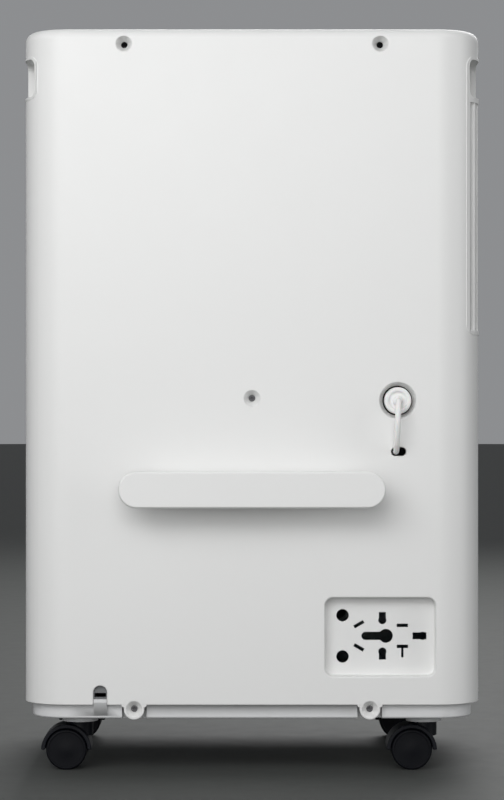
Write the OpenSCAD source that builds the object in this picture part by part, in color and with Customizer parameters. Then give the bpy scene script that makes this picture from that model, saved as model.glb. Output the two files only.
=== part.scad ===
// Portable compressor dehumidifier on four twin-wheel casters.
// +Z is up, the front faces -Y and the rear faces +Y. The origin is on the floor,
// under the middle of the whole machine, cord wrap included.

/* [Casing] */
// Width of the casing
body_w = 280; // [279:0.5:282]
// Depth of the casing, front to rear
body_d = 215; // [215:0.5:217]
// Height of the top above the floor
body_h = 455; // [454.5:0.5:458]
// Radius of the four upright corners
corner_r = 27; // [26:0.5:28]
// Radius of the top edge
edge_r = 6; // [5:0.5:7]
// Thickness of the moulded walls
wall = 2.5; // [2.4:0.1:2.6]
// Height of the covers' lower edge
skirt_z = 42.5; // [42.3:0.1:42.7]
// Height of the base tray's underside
base_z = 33.7; // [33.4:0.1:33.9]
// Where the rear cover meets the front cover
split_y = -22; // [-23:0.5:-21]

/* [Rear fittings] */
// Distance from the rear wall to the face of the cord wrap
wrap_reach = 26; // [24:1:30]
// Length of the cord wrap bar
wrap_len = 161; // [156:1:166]
// Height of the cord wrap bar
wrap_h = 22.2; // [21:0.1:23]
// Height of the cord wrap above the floor
wrap_z = 174.4; // [172:0.2:177]
// Height of the drain port above the floor
drain_z = 228; // [227.5:0.1:228.5]
// Radius of the hose spigot
spigot_r = 6; // [5.9:0.05:6.1]
// Width of the plug rest
rest_w = 67.5; // [66:0.5:69]
// Height of the plug rest
rest_h = 48; // [47:0.5:49]
// Depth of the plug rest
rest_depth = 8; // [7:0.5:8.5]

/* [Side fittings] */
// How far the grip cups and the grille stand proud of the sides
insert_proud = 0.3; // [0.2:0.1:1]
// Pitch of the outlet slats
slat_pitch = 7; // [6.5:0.1:7.5]

/* [Casters] */
// Radius of a caster wheel
wheel_r = 12.5; // [12.3:0.1:12.6]
// Distance from the swivel axis to the axle
caster_trail = 8; // [7:0.5:9]

/* [Moving parts] */
// Travel of a control button
button_travel = 1; // [0.6:0.1:1.4]
// Radial clearance of a pin that turns in a hole
running_gap = 0.05; // [0.03:0.01:0.08]

/* [Hidden] */
$fn = 64;
e = 0.01;                               // overlap that keeps a cut clean

casing_white = "#ebebe9";
inner_grey = "#a9adb0";
rubber_black = "#1a1b1f";
steel = "#c3c6c9";
copper = "#b8734a";

// Casing
body_y = -wrap_reach / 2;               // middle of the casing, front to rear
rear_y = body_y + body_d / 2;
front_y = body_y - body_d / 2;
inner_rear_y = rear_y - wall;

// Screws of the rear cover: [x, z, depth of the head below the seat]
screw_head_r = 2;
screw_hole_r = 2.1;
screw_shank_r = 1.1;
screw_len = 14;
well_r = 4.9;
well_depth = 3.4;
boss_end_y = rear_y - 13;               // inner end of the cover's screw bosses
screws = [[-78.2, 445.7, 4.5], [78.2, 445.7, 4.5], [0, 229.4, 0.6], [-71.9, 39.8, 0.6], [71.9, 39.8, 0.6]];
boss_r = 6.6;                           // screw bosses of the rear cover

// Rear fittings
drain_x = -88.9;
port_r = 11.6;
cup_r = 9.1;
plug_r = 8.2;
spigot_tip_y = rear_y - 3.5;
cup_floor_y = rear_y - 15;
rest_x = -78.2;
rest_z = 83.9;
rest_floor_y = rear_y - rest_depth;
notch_x = 92.6;
notch_w = 8.4;
notch_top = 54.2;
ramp_top = 45.9;                        // top of the base's tab below the notch
wrap_stem = 60.3;                       // half the length of the stem behind the bar
peg_x = 40;                             // cord wrap pegs through the rear wall

// The tether leaves the plug's middle, bows down and enters its hole, and its
// straight tail slides through that hole when the plug is pulled.
tether_r = 1.8;
bead_r = 3.2;
tether_hole = [-89.4, 196.9];
tether_route = [
    [-88.9, 95.1, 228], [-88.9, 99, 228], [-88.8, 102.4, 226.2], [-88.6, 104.6, 222.5],
    [-88.4, 105.4, 218], [-88.2, 105.2, 213.4], [-88, 104.2, 208.7], [-87.9, 102.4, 204.2],
    [-87.8, 99.8, 200.4], [-87.8, 96.4, 197.7], [-87.8, 92.4, 196.9], [-87.8, 84, 196.9],
    [-87.8, 74, 196.9], [-87.8, 64, 196.9], [-87.8, 60, 196.9], [-87.8, 58.4, 196.9],
    [-87.8, 55, 196.9], [-87.8, 54, 196.9],
];

// Side fittings
insert_rear_y = rear_y - 7;
cup_front_y = 46;
cup_z = [412.7, 439.2];
insert_r = 6;                           // corners of the inserts' outlines
cup_rim = 1.7;
cup_depth = 22;
grille_z = 268.3;
grille_front_y = -1;
outlet_z = [271, 411];
outlet_y = [4, insert_rear_y - 2.5];
slat_t = 1.8;
slat_depth = 12;

// Top
top_rim = 12;                           // width of the covers' rim round the top panel
button_r = 8;
button_y = -78;
button_x = [80, 52, -52, -80];
display = [70, 24];

// Front
inlet_w = 210;
inlet_z = [235, 425];
bay_w = 246;
bay_top = 200;
part_gap = 0.4;                         // gap round a part that moves

// Water tank
tank_w = 240;
tank_y = [front_y + wall, -34];
tank_z = [49.5, 180];
tank_wall = 2;
lid_t = 3;
spout = [98, -76];
bail_x = 74;
bail_y = -100;
bail_z = 188;
bail_reach = 20;
float_x = -56;
float_y = -70;
float_z = 168;

// Inside
bulkhead_z = [214, 217];
frame_y = [73, boss_end_y];
coil_w = 190;
coil_z = [240, 430];
coil_rows = 6;
tube_r = 4;
evaporator_y = [-104, -80];
condenser_y = [-60, -32];
compressor_at = [20, 36];
compressor_r = 46;
foot_reach = 56;
accumulator_at = [-50, 30];
fan_z = 325;
scroll_y = [10, 72];
scroll_r = [76, 87];
scroll_turn = [230, 450];
fan_r = 72;
shaft_r = 4;

// Casters
swivel_x = 106.7;
swivel_rear_y = rear_y - 32;
swivel_front_y = front_y + 32;
boss_bottom = 29.5;
stem_r = 5;
stem_top = 41.8;
axle_r = 2;
web_half = 2.5;                         // half the thickness of the web between the wheels
wheel_out = 11.4;                       // outer face of a wheel, from the swivel axis
hood_r = 15.5;
hood_gap = 0.5;

// ---------------------------------------------------------------- shapes

// Section from the axis of a rounded corner outwards, with its top edge rounded.
module edge_profile(r, h, edge) {
    square([r, h - edge]);
    square([r - edge, h]);
    translate([r - edge, h - edge]) circle(edge);
}

// Block on z = 0 with rounded upright corners and a rounded top edge.
module rounded_block(w, d, h, r, edge) {
    translate([r - w / 2, r - d / 2, 0]) cube([w - 2 * r, d - 2 * r, h]);
    for (sx = [0, 1], sy = [0, 1]) mirror([sx, 0, 0]) mirror([0, sy, 0])
        translate([w / 2 - r, d / 2 - r, 0]) rotate_extrude(angle = 90) edge_profile(r, h, edge);
    for (s = [0, 1]) {
        mirror([s, 0, 0]) translate([w / 2 - r, 0, 0]) rotate([90, 0, 0])
            linear_extrude(d - 2 * r, center = true) edge_profile(r, h, edge);
        mirror([0, s, 0]) translate([0, d / 2 - r, 0]) rotate([90, 0, 90])
            linear_extrude(w - 2 * r, center = true) edge_profile(r, h, edge);
    }
}

module rounded_rect(w, h, r) {
    square([w - 2 * r, h], center = true);
    square([w, h - 2 * r], center = true);
    for (sx = [-1, 1], sy = [-1, 1]) translate([sx * (w / 2 - r), sy * (h / 2 - r)]) circle(r);
}

module plate(w, d, r, z0, z1) {
    translate([0, 0, z0]) linear_extrude(z1 - z0) rounded_rect(w, d, r);
}

// Box between two corners.
module box(a, b) {
    translate(a) cube(b - a);
}

// Cylinder along +Y from y0 to y1, through x and z.
module rod_y(r, x, z, y0, y1, r_end = undef) {
    translate([x, y0, z]) rotate([-90, 0, 0])
        cylinder(r1 = r, r2 = is_undef(r_end) ? r : r_end, h = y1 - y0);
}

// Cylinder along +X from x0 to x1, through y and z.
module rod_x(r, y, z, x0, x1) {
    translate([x0, y, z]) rotate([0, 90, 0]) cylinder(r = r, h = x1 - x0);
}

// Flat shape drawn in the rear view's X and Z, from y0 to y1.
module upright(y0, y1) {
    translate([0, y1, 0]) rotate([90, 0, 0]) linear_extrude(y1 - y0) children();
}

// Pipe through a list of points, with a brazed elbow at each turn.
module pipe(points, r) {
    for (i = [0 : len(points) - 2]) {
        a = points[i];
        d = points[i + 1] - a;
        turn = d.x != 0 ? [0, 90 * sign(d.x), 0] : d.y != 0 ? [-90 * sign(d.y), 0, 0] : [d.z < 0 ? 180 : 0, 0, 0];
        translate(a) rotate(turn) cylinder(r = r, h = norm(d), $fn = 32);
        if (i > 0) translate(a) sphere(r * 1.25, $fn = 32);
    }
}

// ---------------------------------------------------------------- casing

module casing_solid(inset, z0, proud = 0) {
    grow = 2 * (proud - inset);
    translate([0, body_y, z0])
        rounded_block(body_w + grow, body_d + grow, body_h - inset - z0, corner_r - inset + proud, edge_r - inset);
}

module casing_shell() {
    difference() {
        casing_solid(0, skirt_z);
        casing_solid(wall, skirt_z - 1);
        translate([0, body_y, 0])
            plate(body_w - 2 * top_rim, body_d - 2 * top_rim, corner_r - top_rim, body_h - 10, body_h + 1);
    }
}

// Stepped hole for a screw: a dished seat, a hole for the head and one for the shank.
module screw_well(x, z, head_depth) {
    seat_y = rear_y - well_depth;
    rod_y(well_r, x, z, rear_y - 1.2, rear_y + 1);
    rod_y(screw_hole_r, x, z, seat_y, rear_y - 1.2 + e, well_r);
    rod_y(screw_hole_r, x, z, seat_y - head_depth - 3, seat_y + 1);
    rod_y(screw_shank_r, x, z, boss_end_y - 1, rear_y - well_depth);
}

module rear_cover() {
    color(casing_white) difference() {
        union() {
            intersection() {
                casing_shell();
                box([-body_w, split_y, 0], [body_w, body_w, body_h + 1]);
            }
            for (s = screws) if (s[1] > skirt_z) rod_y(boss_r, s[0], s[1], boss_end_y, inner_rear_y + e);
            for (s = screws) if (s[1] < skirt_z) {
                rod_y(6.3, s[0], s[1], rear_y - 10, rear_y);
                box([s[0] - 6.3, rear_y - 10, s[1]], [s[0] + 6.3, rear_y, skirt_z + 4]);
            }
            rod_y(13.5, drain_x, drain_z, rear_y - 8, inner_rear_y + e);
        }
        for (s = screws) screw_well(s[0], s[1], s[2]);
        rod_y(cup_r + 0.9, drain_x, drain_z, rear_y - 9, rear_y);
        rod_y(cup_r + 0.9, drain_x, drain_z, rear_y - 3, rear_y + e, port_r);
        upright(inner_rear_y - 1, rear_y + 1) {
            translate([rest_x, rest_z]) rounded_rect(rest_w, rest_h, 5.3);
            translate(tether_hole) rounded_rect(9.1, 5.3, 2.64);
            translate([notch_x - notch_w / 2, skirt_z - 1]) square([notch_w, notch_top - notch_w / 2 - skirt_z + 1]);
            translate([notch_x, notch_top - notch_w / 2]) circle(notch_w / 2);
        }
        for (s = [-1, 1]) rod_y(4, s * peg_x, wrap_z, inner_rear_y - 1, rear_y + 1);
        side_hole(body_w / 2 - cup_depth - 3, [cup_front_y, insert_rear_y], cup_z, insert_r);
        mirror([1, 0, 0]) side_hole(body_w / 2 - slat_depth - 6, [grille_front_y, insert_rear_y], [grille_z, cup_z[1]], insert_r);
    }
}

module front_cover() {
    color(casing_white) difference() {
        intersection() {
            casing_shell();
            box([-body_w, -body_w, 0], [body_w, split_y, body_h + 1]);
        }
        box([-inlet_w / 2, front_y - 1, inlet_z[0]], [inlet_w / 2, front_y + 6, inlet_z[1]]);
        box([-bay_w / 2, front_y - 1, 0], [bay_w / 2, front_y + 12, bay_top]);
    }
}

module top_panel() {
    color(casing_white) difference() {
        translate([0, body_y, 0]) {
            plate(body_w - 2 * top_rim - 0.6, body_d - 2 * top_rim - 0.6, corner_r - top_rim - 0.3,
                body_h - wall - e, body_h);
            plate(body_w - 16, body_d - 16, corner_r - 8, body_h - wall - 2.3, body_h - wall);
        }
        for (x = button_x) translate([x, button_y, body_h - 6]) cylinder(r = button_r + part_gap, h = 7);
        for (s = screws) if (s[1] > skirt_z) rod_y(boss_r + 0.1, s[0], s[1], boss_end_y - 0.4, rear_y);
        box([-display.x / 2, button_y - display.y / 2, body_h - 1.2],
            [display.x / 2, button_y + display.y / 2, body_h + 1]);
    }
}

module display_window() {
    color("#202326") box([-display.x / 2, button_y - display.y / 2, body_h - 1.2],
        [display.x / 2, button_y + display.y / 2, body_h]);
}

module button(x) {
    color("#d9dad8") translate([x, button_y, body_h]) {
        translate([0, 0, -5.4]) cylinder(r = button_r, h = 5.1);
        translate([0, 0, -7.2]) cylinder(r = button_r + 1.6, h = 2);
    }
}

module base_tray() {
    low_w = body_w - 9;
    low_d = body_d - 9;
    in_w = body_w - 2 * wall;
    in_d = body_d - 2 * wall;
    floor_z = base_z + 3.5;
    color("#dfe0df") difference() {
        union() {
            translate([0, body_y, skirt_z]) mirror([0, 0, 1])
                rounded_block(low_w, low_d, skirt_z - base_z, corner_r - 4.5, 1.5);
            translate([0, body_y, 0]) plate(in_w, in_d, corner_r - wall, skirt_z - e, 57.2);
            for (x = [-swivel_x, swivel_x], y = [swivel_front_y, swivel_rear_y])
                translate([x, y, boss_bottom]) cylinder(r = 11, h = 10);
            for (x = [-60, 0, 60], y = [front_y + 20, rear_y - 24])
                translate([x, y, base_z - 1.5]) cylinder(r = 6, h = 3);
            // ramp below the cord notch
            translate([notch_x - notch_w / 2 + 0.2, 0, 0]) rotate([90, 0, 90]) linear_extrude(notch_w - 0.4)
                polygon([[rear_y - 8, skirt_z - 7], [rear_y - 4.4, skirt_z - 7], [rear_y - 0.4, ramp_top - 2],
                    [rear_y - 0.4, ramp_top], [rear_y - 8, ramp_top]]);
        }
        translate([0, body_y, 0]) plate(low_w - 6, low_d - 6, corner_r - 7.5, floor_z, 60);
        box([notch_x - 6.7, inner_rear_y - 8, ramp_top], [notch_x + 6.7, rear_y, 60]);
        // the tank slides out over the lowered front rim
        box([-bay_w / 2, front_y - 1, floor_z + 5], [bay_w / 2, front_y + 14, 60]);
        for (s = screws) if (s[1] < skirt_z) {
            box([s[0] - 7.5, rear_y - 10.4, base_z - 1], [s[0] + 7.5, rear_y, 60]);
        }
        for (x = [-swivel_x, swivel_x], y = [swivel_front_y, swivel_rear_y])
            translate([x, y, boss_bottom - 1]) cylinder(r = stem_r + running_gap, h = 12);
    }
    color("#dfe0df") difference() {
        union() {
            for (s = screws) if (s[1] < skirt_z)
                box([s[0] - 7.4, rear_y - 16, floor_z], [s[0] + 7.4, rear_y - 10.5, 55]);
            for (x = [-60, 60]) box([x - 4, front_y + 6, floor_z - e], [x + 4, tank_y[1], tank_z[0] - part_gap]);
            for (x = [-swivel_x, swivel_x], y = [swivel_front_y, swivel_rear_y])
                translate([x, y, floor_z - e]) cylinder(r = 9, h = 4);
        }
        for (s = screws) if (s[1] < skirt_z) rod_y(screw_shank_r, s[0], s[1], rear_y - 17, rear_y - 10);
        for (x = [-swivel_x, swivel_x], y = [swivel_front_y, swivel_rear_y])
            translate([x, y, boss_bottom]) cylinder(r = stem_r + running_gap, h = 26);
    }
}

module casing_screws() {
    color(steel) for (s = screws) {
        y = rear_y - well_depth - s[2];
        rod_y(screw_head_r, s[0], s[1], y - 3, y);
        rod_y(screw_shank_r, s[0], s[1], y - screw_len, y - 3 + e);
    }
}

// ---------------------------------------------------------------- side fittings

// Block with rounded corners from x out past the left side, between two depths and two heights.
module side_hole(x, y, z, r) {
    translate([x, (y[0] + y[1]) / 2, (z[0] + z[1]) / 2]) rotate([90, 0, 90])
        linear_extrude(body_w - x) rounded_rect(y[1] - y[0], z[1] - z[0], r);
}

// Part of the casing's outline, standing slightly proud, with the same outline as its hole.
module side_block(x, y, z) {
    intersection() {
        casing_solid(0, 100, insert_proud);
        side_hole(x, y, z, insert_r);
    }
}

module grip_pocket() {
    side_hole(body_w / 2 - cup_depth, [cup_front_y + cup_rim, insert_rear_y - cup_rim],
        [cup_z[0] + cup_rim, cup_z[1] - cup_rim], insert_r - cup_rim);
}

module left_handle() {
    color(casing_white) difference() {
        side_block(body_w / 2 - cup_depth - 3, [cup_front_y, insert_rear_y], cup_z);
        grip_pocket();
    }
}

module outlet_grille() {
    inner_x = body_w / 2 - slat_depth;
    color(casing_white) mirror([1, 0, 0]) {
        difference() {
            union() {
                side_block(inner_x - 6, [grille_front_y, insert_rear_y], [grille_z, cup_z[1]]);
                side_block(body_w / 2 - cup_depth - 3, [cup_front_y, insert_rear_y], cup_z);
            }
            grip_pocket();
            box([0, outlet_y[0], outlet_z[0]], [body_w, outlet_y[1], outlet_z[1]]);
        }
        intersection() {
            casing_solid(0, 100, insert_proud - 0.4);
            for (y = [outlet_y[1] - slat_pitch : -slat_pitch : outlet_y[0] + 3])
                box([inner_x, y, outlet_z[0] - e], [body_w, y + slat_t, outlet_z[1] + e]);
        }
    }
}

// ---------------------------------------------------------------- rear fittings

// Plate with round ends along X and a bevelled edge, standing out along +Y.
module capsule_plate(length, height, thick, bevel) {
    r = height / 2;
    section = [[0, 0], [r, 0], [r, thick - bevel], [r - bevel, thick], [0, thick]];
    for (s = [0, 1]) mirror([s, 0, 0]) {
        translate([length / 2 - r, 0, 0]) rotate([-90, 0, 0]) rotate([0, 0, -90])
            rotate_extrude(angle = 180) polygon(section);
    }
    for (s = [0, 1]) mirror([0, 0, s]) translate([r - length / 2, 0, 0]) rotate([90, 0, 90])
        linear_extrude(length - 2 * r) polygon([for (p = section) [p.y, p.x]]);
}

module cord_wrap() {
    color(casing_white) translate([0, 0, wrap_z]) {
        translate([0, rear_y + wrap_reach - 5, 0]) capsule_plate(wrap_len, wrap_h, 5, 0.9);
        box([-wrap_stem, rear_y, -5], [wrap_stem, rear_y + wrap_reach - 5, 5]);
        for (s = [-1, 1]) rod_y(3.95, s * peg_x, 0, rear_y - 8, rear_y + e);
    }
}

// Slot of a plug pattern, w by h, centred at u and v and turned by a.
module slot(u, v, w, h, a = 0) {
    translate([u, v]) rotate(a) square([w, h], center = true);
}

// Universal pattern of plug pins; +u is to the right as seen from behind.
module plug_pattern() {
    blade = 2.1;
    pin = 2.45;
    for (s = [-1, 1]) {
        translate([-24.1, s * 12.45]) circle(3.75);
        slot(-14.2, s * 7, 6.6, blade, s * 30);
        slot(0, s * 11.2, 4.2, 6.3);
        translate([0, s * 9.5]) circle(pin);
        slot(12.1, s * 6.35, 6.8, blade);
    }
    slot(12.1, -10, 1.4, 6);
    translate([2.1, 0]) circle(4.2);
    slot(-4, 0, 12.4, 2 * pin);
    translate([-10.2, 0]) circle(pin);
    slot(22.45, 0, 8.3, 4.2);
    translate([24.3, 0]) circle(pin);
}

module plug_rest() {
    tub = 2;
    color(casing_white) difference() {
        upright(rest_floor_y - tub, inner_rear_y) translate([rest_x, rest_z])
            rounded_rect(rest_w + 2 * tub, rest_h + 2 * tub, 5.3 + tub);
        upright(rest_floor_y, rear_y) translate([rest_x, rest_z]) rounded_rect(rest_w, rest_h, 5.3);
        upright(rest_floor_y - 3, rear_y) translate([rest_x - 1.65, rest_z]) mirror([1, 0]) scale(1.013) plug_pattern();
    }
}

module drain_spigot() {
    color(casing_white) difference() {
        union() {
            rod_y(cup_r + 0.9, drain_x, drain_z, cup_floor_y - 2, rear_y - 3);
            rod_y(spigot_r, drain_x, drain_z, cup_floor_y - 16, cup_floor_y);
        }
        difference() {
            rod_y(cup_r, drain_x, drain_z, cup_floor_y, rear_y);
            rod_y(spigot_r, drain_x, drain_z, cup_floor_y - 1, spigot_tip_y);
        }
        rod_y(spigot_r - 1.5, drain_x, drain_z, cup_floor_y - 17, rear_y);
    }
}

module drain_plug() {
    color("white") difference() {
        union() {
            rod_y(plug_r, drain_x, drain_z, rear_y - 11, rear_y + 1.3);
            rod_y(plug_r, drain_x, drain_z, rear_y + 1.3 - e, rear_y + 2.1, plug_r - 0.8);
        }
        rod_y(spigot_r + running_gap, drain_x, drain_z, rear_y - 12, spigot_tip_y + 0.3);
        rod_y(5.6, drain_x, drain_z, rear_y + 0.6, rear_y + 3, 6.4);
    }
}

// Ring of points across the route at its i-th point.
function heading(p, i) = let (d = p[min(i + 1, len(p) - 1)] - p[max(i - 1, 0)]) d / norm(d);
function ring(p, i, r, sides) = let (d = heading(p, i), across = [1, 0, 0], side = cross(d, across))
    [for (k = [0 : sides - 1]) p[i] + r * (cos(360 * k / sides) * (cross(side, d) / norm(cross(side, d)))
        + sin(360 * k / sides) * side / norm(side))];
// The last points of the tether swell into the bead that keeps it in its hole.
function tether_radius(i) = i >= len(tether_route) - 3 && i < len(tether_route) - 1 ? bead_r : tether_r;

module drain_plug_tether() {
    sides = 8;
    n = len(tether_route);
    points = [for (i = [0 : n - 1]) each ring(tether_route, i, tether_radius(i), sides)];
    walls = [for (i = [0 : n - 2], k = [0 : sides - 1]) let (j = (k + 1) % sides)
        [i * sides + k, (i + 1) * sides + k, (i + 1) * sides + j, i * sides + j]];
    ends = [[for (k = [0 : sides - 1]) k], [for (k = [sides - 1 : -1 : 0]) (n - 1) * sides + k]];
    color("white") polyhedron(points, concat(walls, ends), convexity = 4);
}

module cord_clamp() {
    color("#8f9294") difference() {
        box([notch_x - 6.5, inner_rear_y - 6, ramp_top + 0.1], [notch_x + 6.5, inner_rear_y, 61]);
        box([notch_x - 3.5, inner_rear_y - 8, ramp_top + 1], [notch_x + 3.5, inner_rear_y + 1, ramp_top + 3.6]);
    }
}

// ---------------------------------------------------------------- front

module inlet_grille() {
    half_w = inlet_w / 2 - part_gap;
    low = inlet_z[0] + part_gap;
    high = inlet_z[1] - part_gap;
    rim = 8;
    color(casing_white) {
        difference() {
            box([-half_w, front_y, low], [half_w, front_y + 6, high]);
            box([rim - half_w, front_y - 1, low + rim], [half_w - rim, front_y + 7, high - rim]);
        }
        for (z = [low + rim + 5 : 9 : high - rim - 6])
            box([rim - half_w - e, front_y + 1, z], [half_w - rim + e, front_y + 5, z + 3]);
    }
}

module filter_frame() {
    half_w = inlet_w / 2 - 1;
    low = inlet_z[0] + 1;
    high = inlet_z[1] - 1;
    rim = 7;
    color(inner_grey) {
        difference() {
            box([-half_w, front_y + 6, low], [half_w, front_y + 10, high]);
            box([rim - half_w, front_y + 5, low + rim], [half_w - rim, front_y + 11, high - rim]);
        }
        box([-2, front_y + 8, low + rim - e], [2, front_y + 10, high - rim + e]);
    }
}

module filter_mesh() {
    half_w = inlet_w / 2 - 8;
    color("#5b5f63") box([-half_w, front_y + 7, inlet_z[0] + 8], [half_w, front_y + 8, inlet_z[1] - 8]);
}

// ---------------------------------------------------------------- inside

module chassis_frame() {
    color(inner_grey) difference() {
        union() {
            translate([0, body_y + 3, 0]) plate(268, 196, 24, bulkhead_z[0], bulkhead_z[1]);
            for (x = [-128, 128], y = [-60, 45]) box([x - 3.5, y - 6, base_z + 3.5], [x + 3.5, y + 6, bulkhead_z[0] + e]);
            for (s = [-1, 1]) box([s * 66 - 6, frame_y[0], bulkhead_z[1] - e], [s * 66 + 6, frame_y[1], 449]);
            box([-96, frame_y[0], 437], [96, frame_y[1], 449]);
            box([-8, frame_y[0], bulkhead_z[1] - e], [8, frame_y[1], 240]);
        }
        for (s = screws) if (s[1] > skirt_z) rod_y(screw_shank_r, s[0], s[1], frame_y[0] - 1, frame_y[1] + 1);
        translate([spout.x, spout.y, 0]) cylinder(r = 6.4, h = 300);
        rod_y(14, drain_x, drain_z, frame_y[1], rear_y);
        translate([112, -10, 0]) cylinder(r = 5, h = 300);
        translate([-118, -92, 0]) cylinder(r = 5, h = 300);
    }
}

module drip_tray() {
    t = 2;
    y = [evaporator_y[0] - 3, condenser_y[1] + 6];
    z0 = bulkhead_z[1];
    color(inner_grey) difference() {
        union() {
            box([-106, y[0], z0], [106, y[1], z0 + 19]);
            translate([spout.x, spout.y, bulkhead_z[0] - 2]) cylinder(r = 6, h = 8);
            rod_y(spigot_r, drain_x, drain_z, y[1] - e, y[1] + 14);
        }
        box([-106 + t, y[0] + t, z0 + t], [106 - t, y[1] - t, z0 + 20]);
        translate([spout.x, spout.y, bulkhead_z[0] - 3]) cylinder(r = 4.5, h = 12);
        rod_y(spigot_r - 1.5, drain_x, drain_z, y[1] - 5, y[1] + 15);
    }
}

module drain_hose() {
    y0 = condenser_y[1] + 6;
    y1 = cup_floor_y - 2;
    color("#d8d8d4") difference() {
        rod_y(spigot_r + 2, drain_x, drain_z, y0, y1);
        rod_y(spigot_r, drain_x, drain_z, y0 - 1, y1 + 1);
    }
}

function row_z(i) = coil_z[0] + (coil_z[1] - coil_z[0]) * (i + 0.5) / coil_rows;

module coil_fins(y) {
    groove_pitch = 9.5;
    core = (y[1] - y[0]) * 0.3;
    difference() {
        box([-coil_w / 2, y[0], coil_z[0]], [coil_w / 2, y[1], coil_z[1]]);
        for (x = [groove_pitch - coil_w / 2 : groove_pitch : coil_w / 2 - 5]) {
            box([x, y[0] - 1, coil_z[0] - 1], [x + 4, y[0] + core, coil_z[1] + 1]);
            box([x, y[1] - core, coil_z[0] - 1], [x + 4, y[1] + 1, coil_z[1] + 1]);
        }
        for (i = [0 : coil_rows - 1])
            rod_x(tube_r + running_gap, (y[0] + y[1]) / 2, row_z(i), -coil_w / 2 - 1, coil_w / 2 + 1);
    }
}

// Serpentine tube with both ends at +X.
module coil_tube(y) {
    mid = (y[0] + y[1]) / 2;
    bend = (coil_z[1] - coil_z[0]) / coil_rows / 2;
    half = coil_w / 2 + 3;
    for (i = [0 : coil_rows - 1]) rod_x(tube_r, mid, row_z(i), -half, half);
    for (i = [0 : coil_rows - 2]) {
        side = i % 2 == 0 ? -1 : 1;
        translate([side * half, mid, row_z(i) + bend]) rotate([90, 0, 0]) rotate([0, 0, side > 0 ? -90 : 90])
            rotate_extrude(angle = 180) translate([bend, 0]) circle(tube_r);
    }
}

module evaporator_fins() { color("#cfd6da") coil_fins(evaporator_y); }
module condenser_fins() { color("#cfd6da") coil_fins(condenser_y); }
module evaporator_tube() { color(copper) mirror([1, 0, 0]) coil_tube(evaporator_y); }
module condenser_tube() { color(copper) coil_tube(condenser_y); }

module capillary_tube() {
    from = (condenser_y[0] + condenser_y[1]) / 2;
    to = (evaporator_y[0] + evaporator_y[1]) / 2;
    x = coil_w / 2 + 3;
    out = x + 24;                       // outside the return bends
    color(copper) pipe([[x, from, row_z(0)], [out, from, row_z(0)], [out, from, 436], [out, -70, 436],
        [-out, -70, 436], [-out, to, 436], [-out, to, row_z(5)], [-x, to, row_z(5)]], 1.2);
}

module compressor() {
    color(rubber_black) translate([compressor_at.x, compressor_at.y, 0]) {
        translate([0, 0, 62]) rotate_extrude() intersection() {
            square([compressor_r, 130]);
            union() {
                square([compressor_r - 16, 130]);
                translate([0, 16]) square([compressor_r, 98]);
                for (z = [16, 114]) translate([compressor_r - 16, z]) circle(16);
            }
        }
        for (a = [30, 150, 270]) rotate(a) difference() {
            box([20, -9, 59], [foot_reach + 9, 9, 62.5]);
            translate([foot_reach, 0, 50]) cylinder(r = 4.5, h = 20);
        }
        translate([-20, 10, 191]) cylinder(r = 12, h = 8);
    }
}

module compressor_grommets() {
    color("#303236") translate([compressor_at.x, compressor_at.y, 0]) for (a = [30, 150, 270])
        rotate(a) translate([foot_reach, 0, 0]) {
            translate([0, 0, base_z + 3.5]) cylinder(r = 8, h = 55.5 - base_z);
            translate([0, 0, base_z + 3.5]) cylinder(r = 4.4, h = 62.5 - base_z);
            translate([0, 0, 62.6]) cylinder(r = 6.5, h = 3);
        }
}

module accumulator() {
    color(rubber_black) translate([accumulator_at.x, accumulator_at.y, 0]) {
        translate([0, 0, 90]) cylinder(r1 = 6, r2 = 16, h = 10);
        translate([0, 0, 100 - e]) cylinder(r = 16, h = 65);
        translate([0, 0, 165 - 2 * e]) cylinder(r1 = 16, r2 = 6, h = 10);
    }
}

module discharge_pipe() {
    y = (condenser_y[0] + condenser_y[1]) / 2;
    color(copper) pipe([[40, 36, 192], [40, 36, 206], [112, 36, 206], [112, -10, 206], [112, -10, row_z(5)],
        [112, y, row_z(5)], [coil_w / 2 + 3, y, row_z(5)]], tube_r - 0.6);
}

module suction_pipe() {
    y = (evaporator_y[0] + evaporator_y[1]) / 2;
    color(copper) {
        pipe([[-coil_w / 2 - 3, y, row_z(0)], [-118, y, row_z(0)], [-118, y, 205], [-118, accumulator_at.y, 205],
            [accumulator_at.x, accumulator_at.y, 205], [accumulator_at.x, accumulator_at.y, 175]], tube_r - 0.6);
        pipe([[accumulator_at.x, accumulator_at.y, 90], [accumulator_at.x, accumulator_at.y, 76],
            [-25.7, accumulator_at.y, 76]], tube_r - 0.6);
    }
}

// Outline of the fan's scroll, seen from the front, drawn in by an inset.
function scroll_outline(inset) = concat(
    [for (k = [0 : 44]) let (s = k / 44, a = scroll_turn[0] + s * (scroll_turn[1] - scroll_turn[0]),
        r = scroll_r[0] + s * (scroll_r[1] - scroll_r[0]) - inset) [r * cos(a), fan_z + r * sin(a)]],
    [[-121, outlet_z[1] - 0.5 - inset], [-121, outlet_z[0] + 0.5 + inset]]);

module scroll_shape(inset = 0) { polygon(scroll_outline(inset)); }

module fan_scroll() {
    color(inner_grey) difference() {
        upright(scroll_y[0], scroll_y[1]) scroll_shape();
        difference() {
            upright(scroll_y[0] + wall, scroll_y[1] - wall) scroll_shape(wall);
        }
        box([-130, scroll_y[0] + wall, outlet_z[0] + 0.5 + wall], [-110, scroll_y[1] - wall, outlet_z[1] - 0.5 - wall]);
        rod_y(56, 0, fan_z, scroll_y[0] - 1, scroll_y[0] + 5);
        rod_y(33, 0, fan_z, scroll_y[1] - 5, scroll_y[1] + 1);
    }
}

module fan_motor() {
    color("#55585c") difference() {
        union() {
            rod_y(32, 0, fan_z, 44, 86);
            rod_y(40, 0, fan_z, scroll_y[1], scroll_y[1] + 2.5);
        }
        rod_y(shaft_r + running_gap, 0, fan_z, 43, 80);
    }
}

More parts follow.
